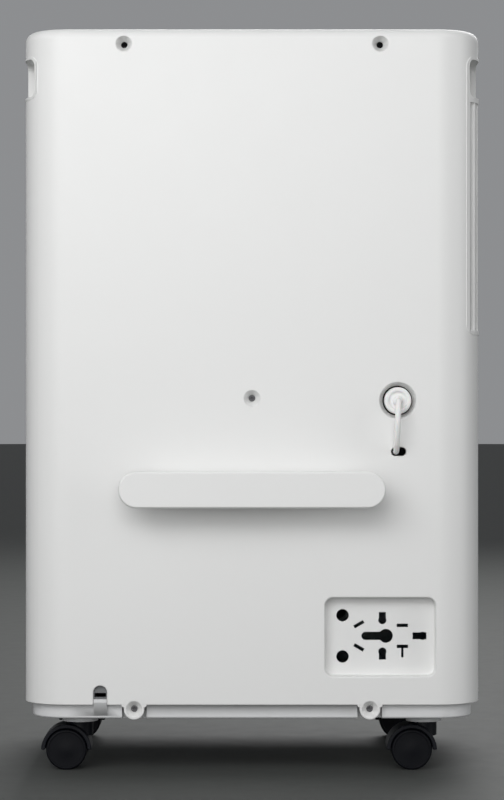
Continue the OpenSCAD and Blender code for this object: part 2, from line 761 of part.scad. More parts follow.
module fan_shaft() { color(steel) rod_y(shaft_r, 0, fan_z, 30, 79.6); }

module fan_wheel() {
    blade_in = 59;
    color("#3a3d42") {
        difference() {
            union() {
                rod_y(fan_r, 0, fan_z, 37, 39.5);
                rod_y(10, 0, fan_z, 31, 42);
            }
            rod_y(shaft_r, 0, fan_z, 30, 43);
        }
        for (y = [16, 63]) difference() {
            rod_y(fan_r, 0, fan_z, y, y + 2);
            rod_y(blade_in + 1, 0, fan_z, y - 1, y + 3);
        }
        for (k = [0 : 35]) translate([0, 0, fan_z]) rotate([0, 10 * k, 0]) translate([blade_in + 2, 0, 0])
            rotate([0, 30, 0]) box([0, 17, -0.6], [10.6, 64, 0.6]);
    }
}

module control_board() {
    color("#2f6b46") box([118, 20, 245], [120, 84, 400]);
    color("#2c2f33") {
        for (z = [262, 300]) rod_x(9, 60, z, 120 - e, 132);
        box([120 - e, 26, 330], [132, 50, 360]);
    }
}

// ---------------------------------------------------------------- water tank

module tank() {
    y = (tank_y[0] + tank_y[1]) / 2;
    d = tank_y[1] - tank_y[0];
    color([0.75, 0.85, 0.9, 0.6]) translate([0, y, 0]) difference() {
        plate(tank_w, d, 20, tank_z[0], tank_z[1]);
        plate(tank_w - 2 * tank_wall, d - 2 * tank_wall, 20 - tank_wall, tank_z[0] + tank_wall, tank_z[1] + 1);
    }
}

module tank_front() {
    color(casing_white) difference() {
        intersection() {
            casing_shell();
            box([part_gap - bay_w / 2, front_y - 1, skirt_z], [bay_w / 2 - part_gap, front_y + 11, bay_top - part_gap]);
        }
        // finger slot above the lid
        box([-45, front_y - 1, tank_z[1] + 5], [45, front_y + 5, bay_top - 5]);
    }
}

module tank_lid() {
    y = (tank_y[0] + tank_y[1]) / 2;
    d = tank_y[1] - tank_y[0];
    z = tank_z[1];
    color("#e4e6e6") {
        difference() {
            translate([0, y, 0]) plate(tank_w, d, 20, z, z + lid_t);
            translate([spout.x, spout.y, z - 1]) cylinder(r = 12, h = 6);
        }
        // lugs and pins of the carrying handle
        for (s = [0, 1]) mirror([s, 0, 0]) {
            box([bail_x + 4.4, bail_y - 4, z + lid_t - e], [bail_x + 9, bail_y + 4, bail_z + 3]);
            rod_x(2, bail_y, bail_z, bail_x - 3, bail_x + 4.4 + e);
        }
        // ears and pin of the float
        for (y = [float_y - 6, float_y + 3]) box([float_x - 3, y, float_z - 3], [float_x + 3, y + 3, z + e]);
        rod_y(1.5, float_x, float_z, float_y - 4, float_y + 4);
    }
}

module tank_handle() {
    color("#5d6266") difference() {
        union() {
            for (s = [-1, 1]) box([s * bail_x - 3.6, bail_y - 3, bail_z - 2.6],
                [s * bail_x + 3.6, bail_y + bail_reach, bail_z + 2.6]);
            box([-bail_x - 3.6, bail_y + bail_reach - 5, bail_z - 2.6],
                [bail_x + 3.6, bail_y + bail_reach + 1, bail_z + 2.6]);
        }
        for (s = [-1, 1]) rod_x(2 + running_gap, bail_y, bail_z, s * bail_x - 5, s * bail_x + 5);
    }
}

module float() {
    color("#e8e6df") difference() {
        union() {
            rod_y(4, float_x, float_z, float_y - 2.4, float_y + 2.4);
            box([float_x - 46, float_y - 2.4, float_z - 3], [float_x, float_y + 2.4, float_z + 1]);
            box([float_x - 54, float_y - 12, float_z - 24], [float_x - 26, float_y + 12, float_z - 3 + e]);
        }
        rod_y(1.5 + running_gap, float_x, float_z, float_y - 3, float_y + 3);
    }
}

// ---------------------------------------------------------------- casters

// Where a caster's swivel axis stands. The near wheel of each pair is the outer one.
module at_caster(side, end) {
    translate([side * swivel_x, end > 0 ? swivel_rear_y : swivel_front_y, 0]) children();
}

module caster_housing(side, end) {
    hood_in = wheel_r + hood_gap;
    color(rubber_black) at_caster(side, end) difference() {
        union() {
            translate([0, 0, boss_bottom - 0.4 - e]) cylinder(r = stem_r, h = stem_top - boss_bottom);
            translate([0, 0, wheel_r + 8]) cylinder(r = 8, h = boss_bottom - 0.4 - wheel_r - 8);
            difference() {
                rod_y(hood_r, caster_trail, wheel_r, -wheel_out, wheel_out);
                rod_y(hood_in, caster_trail, wheel_r, -wheel_out - 1, -web_half);
                rod_y(hood_in, caster_trail, wheel_r, web_half, wheel_out + 1);
                box([-20, -20, -10], [40, 20, wheel_r]);
            }
            rod_y(6, caster_trail, wheel_r, -web_half, web_half);
        }
        for (s = [-1, 1]) rod_y(hood_in, caster_trail, wheel_r, s > 0 ? web_half : -wheel_out - 1,
            s > 0 ? wheel_out + 1 : -web_half);
        rod_y(axle_r, caster_trail, wheel_r, -20, 20);
    }
}

module caster_axle(side, end) {
    color(steel) at_caster(side, end) rod_y(axle_r, caster_trail, wheel_r, 1 - wheel_out, wheel_out - 1);
}

// One wheel of the pair; dir is +1 for the one nearer the rear and -1 for the other.
module caster_wheel(side, end, dir) {
    color("#131418") at_caster(side, end) mirror([0, dir < 0 ? 1 : 0, 0]) difference() {
        union() {
            rod_y(wheel_r, caster_trail, wheel_r, web_half + 0.4, wheel_out - 0.8);
            rod_y(wheel_r, caster_trail, wheel_r, wheel_out - 0.8 - e, wheel_out, wheel_r - 0.8);
        }
        rod_y(axle_r + running_gap, caster_trail, wheel_r, 0, wheel_out - 0.8);
    }
}

// Left and right are as seen from behind, so left is +X.
rear_cover();
front_cover();
top_panel();
base_tray();
left_handle();
outlet_grille();
cord_wrap();
plug_rest();
drain_spigot();
cord_clamp();
casing_screws();
inlet_grille();
filter_frame();
filter_mesh();
chassis_frame();
drip_tray();
drain_hose();
evaporator_fins();
evaporator_tube();
condenser_fins();
condenser_tube();
capillary_tube();
compressor();
compressor_grommets();
accumulator();
discharge_pipe();
suction_pipe();
fan_scroll();
fan_motor();
fan_wheel();
fan_shaft();
control_board();
display_window();
button(button_x[0]);  // power_button
button(button_x[1]);  // mode_button
button(button_x[2]);  // humidity_button
button(button_x[3]);  // timer_button
tank();
tank_front();
tank_lid();
tank_handle();
float();
drain_plug();
drain_plug_tether();
caster_housing(1, 1);  // rear_left_caster
caster_axle(1, 1);  // rear_left_axle
caster_wheel(1, 1, -1);  // rear_left_wheel_in
caster_wheel(1, 1, 1);  // rear_left_wheel_out
caster_housing(-1, 1);  // rear_right_caster
caster_axle(-1, 1);  // rear_right_axle
caster_wheel(-1, 1, -1);  // rear_right_wheel_in
caster_wheel(-1, 1, 1);  // rear_right_wheel_out
caster_housing(1, -1);  // front_left_caster
caster_axle(1, -1);  // front_left_axle
caster_wheel(1, -1, 1);  // front_left_wheel_in
caster_wheel(1, -1, -1);  // front_left_wheel_out
caster_housing(-1, -1);  // front_right_caster
caster_axle(-1, -1);  // front_right_axle
caster_wheel(-1, -1, 1);  // front_right_wheel_in
caster_wheel(-1, -1, -1);  // front_right_wheel_out
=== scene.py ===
"""Portable dehumidifier: its shells, blower, coils, tank and casters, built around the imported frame."""
import math

import bmesh
import bpy
from bpy.props import FloatProperty, FloatVectorProperty, IntProperty, PointerProperty
from mathutils import Matrix, Vector


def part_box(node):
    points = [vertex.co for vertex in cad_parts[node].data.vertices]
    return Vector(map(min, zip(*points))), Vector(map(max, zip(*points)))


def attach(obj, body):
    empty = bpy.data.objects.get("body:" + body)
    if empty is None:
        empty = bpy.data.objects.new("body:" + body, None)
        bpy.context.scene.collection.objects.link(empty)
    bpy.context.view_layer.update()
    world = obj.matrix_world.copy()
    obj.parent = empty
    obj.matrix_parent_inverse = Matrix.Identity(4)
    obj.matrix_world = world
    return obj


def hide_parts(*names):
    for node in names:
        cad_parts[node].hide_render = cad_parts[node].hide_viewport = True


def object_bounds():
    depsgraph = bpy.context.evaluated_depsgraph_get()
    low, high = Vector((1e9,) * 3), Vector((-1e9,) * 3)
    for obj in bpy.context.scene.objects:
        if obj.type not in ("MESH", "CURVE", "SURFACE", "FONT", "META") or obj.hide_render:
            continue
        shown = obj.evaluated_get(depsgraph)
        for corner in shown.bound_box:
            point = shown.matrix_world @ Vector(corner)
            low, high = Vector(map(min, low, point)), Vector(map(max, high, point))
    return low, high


bl_info = {
    "name": "Dehumidifier",
    "version": (1, 0, 0),
    "blender": (4, 5, 0),
    "location": "View3D > Sidebar > Dehumidifier",
    "description": "Builds a portable dehumidifier on casters around its packed frame",
    "category": "Add Mesh",
}

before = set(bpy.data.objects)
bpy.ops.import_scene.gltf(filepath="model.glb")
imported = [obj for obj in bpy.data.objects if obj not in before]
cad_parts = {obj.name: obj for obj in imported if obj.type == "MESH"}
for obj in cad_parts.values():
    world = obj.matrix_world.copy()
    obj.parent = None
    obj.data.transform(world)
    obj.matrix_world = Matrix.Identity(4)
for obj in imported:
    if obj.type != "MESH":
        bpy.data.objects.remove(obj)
CAD_LOW, CAD_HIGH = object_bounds()
MM = 0.001
UP = Vector((0, 0, 1))
REARWARD = Vector((0, 1, 0))
SIDEWAYS = Vector((1, 0, 0))
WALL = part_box("rear_cover")[1].y
CORNERS = ("rear_left", "rear_right", "front_left", "front_right")

# Route of the drain plug's strap, in millimetres: from the plug's middle out, down and in through its hole.
STRAP_ROUTE = (
    (-88.9, 95.1, 228), (-88.9, 99, 228), (-88.8, 102.4, 226.2), (-88.6, 104.6, 222.5),
    (-88.4, 105.4, 218), (-88.2, 105.2, 213.4), (-88, 104.2, 208.7), (-87.9, 102.4, 204.2),
    (-87.8, 99.8, 200.4), (-87.8, 96.4, 197.7), (-87.8, 92.4, 196.9), (-87.8, 84, 196.9),
    (-87.8, 74, 196.9), (-87.8, 64, 196.9), (-87.8, 60, 196.9), (-87.8, 58.4, 196.9),
    (-87.8, 55, 196.9), (-87.8, 54, 196.9),
)
STRAP_THICK = 0.0036
# The hole that the strap goes in at, in millimetres: across, height of its middle, width, height.
STRAP_HOLE = (-89.4, 196.9, 9.1, 5.3)
# Screws of the rear cover, in millimetres: across, height, depth of the head below its seat.
SCREWS = ((-78.2, 445.7, 4.5), (78.2, 445.7, 4.5), (0, 229.4, 0.6), (-71.9, 39.8, 0.6), (71.9, 39.8, 0.6))
SCREW_SEAT = 3.4  # how far the seats lie below the wall's face
DEEP_SET = 1  # a head that lies further below its seat than this sits in a deeper bore and gets painted shade: a black finish that stands in for the shadow of its deep well
CORD_NOTCH_TOP = 0.0542
PLUG_FLANGE = 0.002  # width of the plug rest's flange, which lies behind the cover


# ---------------------------------------------------------------- settings

def colour(name, text, value):
    return FloatVectorProperty(name=name, description=text, subtype="COLOR", size=3, min=0, max=1, default=value)


def length(name, text, value):
    return FloatProperty(name=name, description=text, subtype="DISTANCE", unit="LENGTH", default=value)


class FinishSettings(bpy.types.PropertyGroup):
    casing: colour("Casing", "Satin off-white plastic of the shells", (0.80, 0.80, 0.79))
    base: colour("Base", "Plastic of the base tray", (0.74, 0.745, 0.75))
    rubber: colour("Rubber", "White rubber of the drain plug and its strap", (0.86, 0.86, 0.85))
    caster: colour("Caster", "Black nylon of the caster hoods", (0.004, 0.005, 0.008))
    wheel: colour("Wheel", "Black nylon of the wheels", (0.0025, 0.003, 0.005))
    inner: colour("Inner plastic", "Grey plastic of the parts inside", (0.16, 0.165, 0.17))
    tank: colour("Tank", "Tint of the clear water tank", (0.62, 0.72, 0.78))


class ShellSettings(bpy.types.PropertyGroup):
    corner: length("Corner", "Radius of the upright corners", 0.027)
    edge: length("Edge", "Radius of the top edge", 0.006)
    wall: length("Wall", "Thickness of the moulded walls", 0.0025)
    rim: length("Top rim", "Width of the covers' rim round the top panel", 0.012)
    lip: length("Lip", "Rounding of the openings' rims", 0.0005)
    dish_lip: length("Dish lip", "Rounding of the rims of the screw wells and the drain port", 0.0006)


class MouldingSettings(bpy.types.PropertyGroup):
    shell_round: length("Shell rounding", "Rounding of the shells' cut edges", 0.0007)
    small_round: length("Small rounding", "Rounding of small parts' edges", 0.0003)
    grain: length("Grain", "Size of the moulded texture's grain", 0.0005)
    grain_depth: length("Grain depth", "Depth of the moulded texture", 0.00002)
    round_steps: IntProperty(name="Rounding steps", description="Steps across a rounded edge", min=1, max=6, default=3)


class CoilSettings(bpy.types.PropertyGroup):
    fin_pitch: length("Fin pitch", "Distance from one fin to the next", 0.002)
    fin_thick: length("Fin thickness", "Thickness of one fin", 0.00025)
    net_pitch: length("Net pitch", "Distance between the filter net's threads", 0.003)


class StudioSettings(bpy.types.PropertyGroup):
    distance: length("Camera distance", "From the rear wall to the camera", 1.6)
    eye_height: length("Eye height", "Height of the camera above the floor", 0.2284)
    lens: FloatProperty(name="Lens", description="Focal length, in millimetres", default=118.15)
    key: FloatProperty(name="Key light", description="Power of the main light, in watts", default=11.2)
    fill: FloatProperty(name="Fill light", description="Power of the side strips, in watts", default=1.4)
    sky: FloatProperty(name="Sky", description="Strength of the surrounding light", default=0.28)


SETTINGS = {
    "finish": FinishSettings, "shell": ShellSettings, "moulding": MouldingSettings, "coil": CoilSettings,
    "studio": StudioSettings,
}


def settings(group):
    return getattr(bpy.context.scene, "dehumidifier_" + group)


# ---------------------------------------------------------------- mesh helpers

def piece(name, bm, body, material, replaced=None, smooth=35, rounding=0.0, steps=None):
    """Turns a bmesh in the row frame into a piece that rides on a body, with its edges rounded."""
    mesh = bpy.data.meshes.new(name)
    bm.to_mesh(mesh)
    bm.free()
    mesh.materials.append(material)
    mesh.shade_smooth()
    mesh.set_sharp_from_angle(angle=math.radians(smooth))
    obj = bpy.data.objects.new(name, mesh)
    bpy.context.scene.collection.objects.link(obj)
    if rounding:
        round_edges(obj, rounding, steps)
    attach(obj, body)
    if replaced:
        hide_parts(replaced)
    return obj


def round_edges(obj, width, steps=None):
    bevel = obj.modifiers.new("rounded edges", "BEVEL")
    bevel.width = width
    bevel.segments = steps or settings("moulding").round_steps
    bevel.limit_method = "ANGLE"
    bevel.angle_limit = math.radians(38)
    bevel.use_clamp_overlap = False
    bevel.miter_outer = "MITER_ARC"
    bevel.harden_normals = False
    flatten_shading(obj)


def flatten_shading(obj):
    normals = obj.modifiers.new("flat faces", "WEIGHTED_NORMAL")
    normals.keep_sharp = True
    normals.weight = 60


def copied(node):
    """The mesh of a CAD node, with its flat faces whole again."""
    bm = bmesh.new()
    bm.from_mesh(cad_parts[node].data)
    bmesh.ops.remove_doubles(bm, verts=bm.verts, dist=2e-6)
    bmesh.ops.dissolve_limit(bm, angle_limit=math.radians(0.6), verts=bm.verts, edges=bm.edges)
    return bm


def lathe(profile, centre, axis=REARWARD, steps=64):
    """Turns (radius, along) pairs, in millimetres, about an axis of length 1 through a point."""
    bm = bmesh.new()
    out = SIDEWAYS if abs(axis.x) < 0.5 else UP
    verts = [bm.verts.new(centre + out * r * MM + axis * a * MM) for r, a in profile]
    edges = [bm.edges.new(pair) for pair in zip(verts, verts[1:])]
    bmesh.ops.spin(bm, geom=verts + edges, cent=centre, axis=axis, angle=math.tau, steps=steps, use_merge=True)
    bmesh.ops.remove_doubles(bm, verts=bm.verts, dist=1e-6)
    bmesh.ops.recalc_face_normals(bm, faces=bm.faces)
    return bm


def slug(radius, low, high):
    """Profile of a plain cylinder, for lathe."""
    return [(0, low), (radius, low), (radius, high), (0, high)]


def arc(centre, radius, start, end, steps=6):
    """Points of an arc, as pairs, from one angle to another in degrees."""
    angles = [math.radians(start + (end - start) * i / steps) for i in range(steps + 1)]
    return [(centre[0] + radius * math.cos(a), centre[1] + radius * math.sin(a)) for a in angles]


def add_box(bm, low, high):
    """Adds a box between two corners, in metres."""
    low, high = Vector(low), Vector(high)
    made = bmesh.ops.create_cube(bm, size=1)["verts"]
    bmesh.ops.scale(bm, vec=high - low, verts=made)
    bmesh.ops.translate(bm, vec=(high + low) / 2, verts=made)
    return bm


def rounded_block(low, high, corner, edge, foot=0.0):
    """A block with rounded upright corners, a rounded top edge and a slightly rounded foot."""
    bm = add_box(bmesh.new(), low, high)

    def bevel(edges, offset, segments):
        bmesh.ops.bevel(bm, geom=edges, offset=offset, segments=segments, affect="EDGES", profile=0.5, material=-1)

    bevel([e for e in bm.edges if abs(e.verts[0].co.z - e.verts[1].co.z) > 1e-6], corner, 24)
    for level, radius in ((high[2], edge), (low[2], foot)):
        if radius:
            bevel([e for e in bm.edges if all(abs(v.co.z - level) < 1e-6 for v in e.verts)], radius,
                  8 if radius > MM else 3)
    return bm


def facing(direction, centre):
    """Turns a drawing of (across, up, out) to stand at a point and face a direction."""
    turn = {"rear": ((1, 0, 0), (0, 0, 1), (0, 1, 0)), "up": ((1, 0, 0), (0, 1, 0), (0, 0, 1)),
            "left": ((0, 1, 0), (0, 0, 1), (1, 0, 0)), "right": ((0, 1, 0), (0, 0, 1), (-1, 0, 0)),
            "front": ((1, 0, 0), (0, 0, 1), (0, -1, 0))}[direction]
    matrix = Matrix([(*row, 0) for row in turn] + [(0, 0, 0, 1)]).transposed()
    matrix.translation = centre
    return matrix


def half_round(width):
    """Corner radius for a rounded end: half the width, less a trace that keeps the corners apart."""
    return width / 2 - 0.01 * MM


def loft(width, height, radius, rings, direction, centre, steps=10):
    """Joins rounded rectangles, each given as (growth, distance out), in metres, into one closed solid."""
    bm = bmesh.new()
    loops = []
    for grow, out in rings:
        corners = bmesh.ops.create_grid(bm, x_segments=1, y_segments=1, size=0.5)["verts"]
        bmesh.ops.scale(bm, vec=(width + 2 * grow, height + 2 * grow, 1), verts=corners)
        bmesh.ops.translate(bm, vec=(0, 0, out), verts=corners)
        round_to = max(radius + grow, 0.0)
        if round_to:
            bmesh.ops.bevel(bm, geom=corners, offset=round_to, segments=steps, affect="VERTICES", profile=0.5,
                            material=-1)
        face = next(f for f in bm.faces if abs(f.verts[0].co.z - out) < 1e-9 and len(f.verts) > 3)
        loops.append(list(face.edges))
        bmesh.ops.delete(bm, geom=[face], context="FACES_ONLY")
    for lower, upper in zip(loops, loops[1:]):
        bmesh.ops.bridge_loops(bm, edges=lower + upper)
    for end in (loops[0], loops[-1]):
        bmesh.ops.contextual_create(bm, geom=end)
    bmesh.ops.transform(bm, matrix=facing(direction, centre), verts=bm.verts)
    bmesh.ops.recalc_face_normals(bm, faces=bm.faces)
    return bm


def flared(depth, lip):
    """Rings of a hole's cutter, from its bottom to just past the wall, that leave a rounded lip."""
    steps, past = 4, 1.5 * MM
    turns = [math.pi / 2 * i / steps for i in range(steps + 1)]
    rings = [(lip * (1 - math.cos(turn)), -lip * (1 - math.sin(turn))) for turn in turns]
    return [(0, -depth)] + rings + [(lip * 1.02, past)]


def carved(obj, cutter, operation="DIFFERENCE"):
    """Cuts a bmesh out of a piece for good, or adds it with operation UNION."""
    mesh = bpy.data.meshes.new("cutter")
    cutter.to_mesh(mesh)
    cutter.free()
    tool = bpy.data.objects.new("cutter", mesh)
    bpy.context.scene.collection.objects.link(tool)
    cut = obj.modifiers.new("cut", "BOOLEAN")
    cut.operation = operation
    cut.solver = "EXACT"
    cut.object = tool
    bpy.context.view_layer.update()
    shape = bpy.data.meshes.new_from_object(obj.evaluated_get(bpy.context.evaluated_depsgraph_get()))
    obj.modifiers.remove(cut)
    obj.data = shape
    shape.shade_smooth()
    shape.set_sharp_from_angle(angle=math.radians(35))
    bpy.data.objects.remove(tool)
    if "flat faces" not in obj.modifiers:
        flatten_shading(obj)
    return obj


# ---------------------------------------------------------------- materials

def group_socket(group, name, kind, value=None, out=False):
    socket = group.interface.new_socket(name=name, in_out="OUTPUT" if out else "INPUT", socket_type=kind)
    if value is not None:
        socket.default_value = value
    return socket


def moulded_group():
    """Colour drift, roughness and height of a moulded plastic surface with a fine grain."""
    name = "moulded surface"
    if name in bpy.data.node_groups:
        return bpy.data.node_groups[name]
    group = bpy.data.node_groups.new(name, "ShaderNodeTree")
    group_socket(group, "Colour", "NodeSocketColor", (0.8, 0.8, 0.8, 1))
    group_socket(group, "Drift", "NodeSocketFloat", 0.03)
    group_socket(group, "Grain", "NodeSocketFloat", 2000)
    group_socket(group, "Roughness", "NodeSocketFloat", 0.4)
    group_socket(group, "Dust", "NodeSocketFloat", 0.1)
    group_socket(group, "Colour", "NodeSocketColor", out=True)
    group_socket(group, "Roughness", "NodeSocketFloat", out=True)
    group_socket(group, "Height", "NodeSocketFloat", out=True)
    nodes, link = group.nodes, group.links.new
    given, result = nodes.new("NodeGroupInput"), nodes.new("NodeGroupOutput")
    place = nodes.new("ShaderNodeTexCoord").outputs["Object"]

    def noise(scale, detail, rough=0.5):
        node = nodes.new("ShaderNodeTexNoise")
        node.inputs["Scale"].default_value = scale
        node.inputs["Detail"].default_value = detail
        node.inputs["Roughness"].default_value = rough
        link(place, node.inputs["Vector"])
        return node

    def maths(operation, a, b, c=None):
        node = nodes.new("ShaderNodeMath")
        node.operation = operation
        for socket, value in zip(node.inputs, (a, b, c)):
            if isinstance(value, (int, float)):
                socket.default_value = value
            elif value is not None:
                link(value, socket)
        return node.outputs[0]

    patches = noise(14, 3).outputs["Fac"]
    grain = noise(1, 2, 0.6)
    link(given.outputs["Grain"], grain.inputs["Scale"])
    swing = maths("MULTIPLY", maths("SUBTRACT", patches, 0.5), given.outputs["Drift"])
    shade = nodes.new("ShaderNodeMix")
    shade.data_type = "RGBA"
    shade.blend_type = "MULTIPLY"
    shade.inputs["Factor"].default_value = 1
    link(given.outputs["Colour"], shade.inputs["A"])
    level = nodes.new("ShaderNodeCombineColor")
    for channel in ("Red", "Green", "Blue"):
        link(maths("ADD", swing, 1.0), level.inputs[channel])
    link(level.outputs["Color"], shade.inputs["B"])
    # dust gathers towards the floor
    height = nodes.new("ShaderNodeSeparateXYZ")
    link(place, height.inputs[0])
    low = maths("MULTIPLY_ADD", height.outputs["Z"], -14.0, 1.0)
    settled = maths("MULTIPLY", maths("MAXIMUM", low, 0.0), noise(220, 4, 0.7).outputs["Fac"])
    dusty = nodes.new("ShaderNodeMix")
    dusty.data_type = "RGBA"
    dusty.inputs["B"].default_value = (0.32, 0.31, 0.29, 1)
    link(maths("MULTIPLY", settled, given.outputs["Dust"]), dusty.inputs["Factor"])
    link(shade.outputs["Result"], dusty.inputs["A"])
    link(dusty.outputs["Result"], result.inputs["Colour"])
    scuffs = maths("MULTIPLY_ADD", maths("SUBTRACT", noise(60, 5, 0.65).outputs["Fac"], 0.5), 0.14,
                   given.outputs["Roughness"])
    link(maths("ADD", scuffs, maths("MULTIPLY", settled, given.outputs["Dust"])), result.inputs["Roughness"])
    link(grain.outputs["Fac"], result.inputs["Height"])
    return group


def shader(name, **sockets):
    """A new material and its Principled shader, with plain values set on its sockets."""
    material = bpy.data.materials.new(name)
    material.use_nodes = True
    principled = material.node_tree.nodes["Principled BSDF"]
    for socket, value in sockets.items():
        principled.inputs[socket.replace("_", " ")].default_value = value
    return material, principled


def moulded(name, tint, rough=0.4, drift=0.03, grain=None, depth=None, dust=0.0, **sockets):
    """Moulded plastic, paint or rubber with a fine grain."""
    if name in bpy.data.materials:
        return bpy.data.materials[name]
    material, principled = shader(name, **sockets)
    tree = material.node_tree
    surface = tree.nodes.new("ShaderNodeGroup")
    surface.node_tree = moulded_group()
    surface.inputs["Colour"].default_value = (*tint, 1)
    surface.inputs["Drift"].default_value = drift
    surface.inputs["Grain"].default_value = 1 / (grain or settings("moulding").grain)
    surface.inputs["Roughness"].default_value = rough
    surface.inputs["Dust"].default_value = dust
    bump = tree.nodes.new("ShaderNodeBump")
    bump.inputs["Distance"].default_value = depth or settings("moulding").grain_depth
    bump.inputs["Strength"].default_value = 0.7
    tree.links.new(surface.outputs["Colour"], principled.inputs["Base Color"])
    tree.links.new(surface.outputs["Roughness"], principled.inputs["Roughness"])
    tree.links.new(surface.outputs["Height"], bump.inputs["Height"])
    tree.links.new(bump.outputs["Normal"], principled.inputs["Normal"])
    return material


def casing_plastic():
    return moulded("casing plastic", settings("finish").casing, 0.42, 0.015, dust=0.05)


def base_plastic():
    return moulded("base plastic", settings("finish").base, 0.45, 0.03, dust=0.25)


def white_rubber():
    return moulded("white rubber", settings("finish").rubber, 0.5, 0.03, grain=0.0009, Subsurface_Weight=0.1,
                   Subsurface_Scale=0.002)


def caster_nylon():
    return moulded("caster nylon", settings("finish").caster, 0.42, 0.2, depth=0.00003, dust=0.01,
                   Specular_IOR_Level=0.18)


def wheel_nylon():
    return moulded("wheel nylon", settings("finish").wheel, 0.48, 0.2, depth=0.00003, dust=0.01,
                   Specular_IOR_Level=0.12)


# painted shade: near-black, so that the set-back nozzle reads as the dark gap round the drain plug
def nozzle_shade_black():
    return moulded("nozzle plastic", (0.004, 0.004, 0.005), 0.6, 0.1, Specular_IOR_Level=0.2)


def inner_plastic():
    return moulded("inner plastic", settings("finish").inner, 0.55, 0.05, grain=0.001)


def steel():
    return moulded("zinc steel", (0.55, 0.55, 0.56), 0.32, 0.1, grain=0.0008, depth=0.00001, Metallic=1.0)


def dull_steel():
    return moulded("dull zinc", (0.13, 0.13, 0.135), 0.5, 0.1, grain=0.0008, depth=0.00001, Metallic=0.7)


# painted shade: this black stands in for the shadow deep in the wells of the top screws
def painted_shade_black():
    return moulded("black oxide", (0.003, 0.003, 0.0035), 0.6, 0.1, grain=0.0008, depth=0.00001,
                   Specular_IOR_Level=0.1)


def grey_nylon():
    return moulded("clamp nylon", (0.17, 0.175, 0.18), 0.5, 0.05)


def black_enamel():
    return moulded("black enamel", (0.012, 0.012, 0.013), 0.28, 0.1, grain=0.002, depth=0.00006, Coat_Weight=0.4)


def copper():
    return moulded("copper", (0.78, 0.36, 0.20), 0.27, 0.25, grain=0.003, depth=0.00001, Metallic=1.0)


def aluminium():
    return moulded("fin aluminium", (0.80, 0.82, 0.84), 0.33, 0.1, grain=0.001, depth=0.00001, Metallic=1.0)


def black_rubber():
    return moulded("black rubber", (0.018, 0.018, 0.02), 0.7, 0.1, grain=0.0012, depth=0.00005)


def blower_plastic():
    return moulded("blower plastic", (0.022, 0.023, 0.026), 0.45, 0.1)


def board_lacquer():
    return moulded("board lacquer", (0.01, 0.10, 0.035), 0.3, 0.2, grain=0.002, Coat_Weight=0.5)


def glossy_black():
    return moulded("display gloss", (0.006, 0.006, 0.007), 0.06, 0.0, grain=0.004, depth=0.000002, Coat_Weight=1.0)


def button_plastic():
    return moulded("button plastic", (0.62, 0.62, 0.61), 0.35, 0.02)


def net_nylon():
    return moulded("filter net nylon", (0.03, 0.032, 0.036), 0.6, 0.1)


def bail_plastic():
    return moulded("bail plastic", (0.10, 0.105, 0.11), 0.45, 0.05)


def float_foam():
    return moulded("float foam", (0.72, 0.70, 0.62), 0.85, 0.08, grain=0.0012, depth=0.0002)


def hose_vinyl():
    return moulded("hose vinyl", (0.62, 0.62, 0.58), 0.35, 0.05, Transmission_Weight=0.3)


def clear_tank():
    return moulded("clear tank", settings("finish").tank, 0.22, 0.03, grain=0.0015, depth=0.00003,
                   Transmission_Weight=0.85, IOR=1.49)


def glowing():
    name = "display glow"
    if name in bpy.data.materials:
        return bpy.data.materials[name]
    material, _ = shader(name, Base_Color=(0.02, 0.02, 0.02, 1), Roughness=0.3,
                         Emission_Color=(0.55, 0.85, 1.0, 1), Emission_Strength=1.6)
    return material


def finish_node(node, material):
    """Gives a CAD node that stays in view its finish."""
    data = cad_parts[node].data
    data.materials.clear()
    data.materials.append(material)


# ---------------------------------------------------------------- stage

class DEHUMIDIFIER_OT_stage(bpy.types.Operator):
    """Makes the floor, the lights and the camera"""
    bl_idname = "dehumidifier.stage"
    bl_label = "Stage"

    def execute(self, context):
        studio = settings("studio")
        self.floor()
        self.camera(context, studio)
        high = CAD_HIGH.z
        middle, upper, top = (Vector((0, y, z)) for y, z in ((0, high / 2), (WALL, high * 0.8), (WALL, high)))
        for name, place, aim, size, power in (
                ("key", (0.3, WALL + 1.4, high + 0.1), upper, (1.6, 1.2), studio.key),
                ("crown", (0.25, WALL + 0.7, high + 0.2), top, (0.8, 0.4), studio.key * 0.24),
                ("side", (1.5, WALL + 0.5, high + 0.2), middle, (0.5, 1.0), studio.fill),
                ("edge", (-1.4, WALL + 0.5, high * 0.6), middle, (0.35, 1.2), studio.fill * 3),
                ("front", (-0.4, CAD_LOW.y - 1.5, high + 0.9), middle, (1.4, 1.4), studio.key * 2)):
            self.light(name, place, aim, size, power)
        world = bpy.data.worlds.new("studio")
        world.use_nodes = True
        sky = world.node_tree.nodes["Background"]
        sky.inputs["Color"].default_value = (0.95, 0.97, 1.0, 1)
        sky.inputs["Strength"].default_value = studio.sky
        context.scene.world = world
        context.scene.view_settings.view_transform = "Standard"
        return {"FINISHED"}

    def floor(self):
        bm = bmesh.new()
        bmesh.ops.create_circle(bm, cap_ends=True, radius=12, segments=64)
        mesh = bpy.data.meshes.new("floor")
        bm.to_mesh(mesh)
        bm.free()
        # painted shadow: the whole floor is coloured very dark, like the shadowed floor under the machine
        mesh.materials.append(moulded("floor paint", (0.062, 0.066, 0.062), 0.7, 0.02, grain=0.004))
        obj = bpy.data.objects.new("floor", mesh)
        bpy.context.scene.collection.objects.link(obj)

    def camera(self, context, studio):
        data = bpy.data.cameras.new("camera")
        data.lens = studio.lens
        obj = bpy.data.objects.new("camera", data)
        obj.location = (0, WALL + studio.distance, studio.eye_height)
        obj.rotation_euler = (math.pi / 2, 0, math.pi)
        context.scene.collection.objects.link(obj)
        context.scene.camera = obj

    def light(self, name, place, aim, size, power):
        data = bpy.data.lights.new(name, "AREA")
        data.shape = "RECTANGLE"
        data.size, data.size_y = size
        data.energy = power
        obj = bpy.data.objects.new(name, data)
        obj.location = place
        obj.rotation_euler = (aim - Vector(place)).to_track_quat("-Z", "Y").to_euler()
        bpy.context.scene.collection.objects.link(obj)


# ---------------------------------------------------------------- casing

